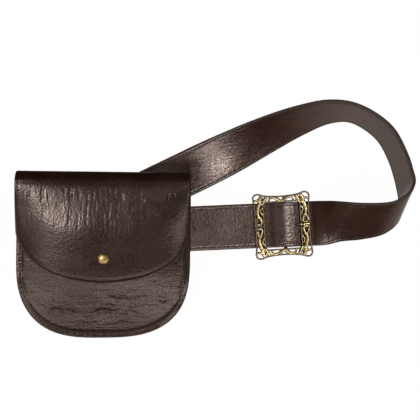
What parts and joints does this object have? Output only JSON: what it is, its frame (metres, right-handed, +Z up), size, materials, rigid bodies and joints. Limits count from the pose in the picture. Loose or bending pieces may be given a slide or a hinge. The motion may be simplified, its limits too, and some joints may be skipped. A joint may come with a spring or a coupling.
{
  "type": "hip bag",
  "caption": "Flat leather belt pouch with a rounded flap and brass snap, carried on a wide leather belt with a pierced brass scrollwork buckle",
  "frame": {"origin": "middle of the bag's footprint on the surface it lies on", "axes": "+X along the belt from the pouch to the buckle, +Y from the pouch's bottom edge to its top fold, +Z up from the surface through the pouch's back to its flap"},
  "size_m": [0.3513, 0.2114, 0.0461],
  "materials": {
    "pouch_leather": "glossy dark brown grained artificial leather",
    "belt_leather": "glossy dark brown grained artificial leather, two layers sewn along both edges",
    "antique_brass": "cast brass with darkened recesses",
    "bright_brass": "polished brass",
    "sewing_thread": "waxed dark brown polyester thread"
  },
  "bodies": {
    "root": {"back_panel": "pouch_leather", "front_panel": "pouch_leather", "flap": "pouch_leather", "belt_loop": "pouch_leather", "belt_strap": "belt_leather", "buckle_frame": "antique_brass", "buckle_prong": "antique_brass", "snap_cap": "bright_brass", "snap_post": "bright_brass"}
  },
  "joints": []
}
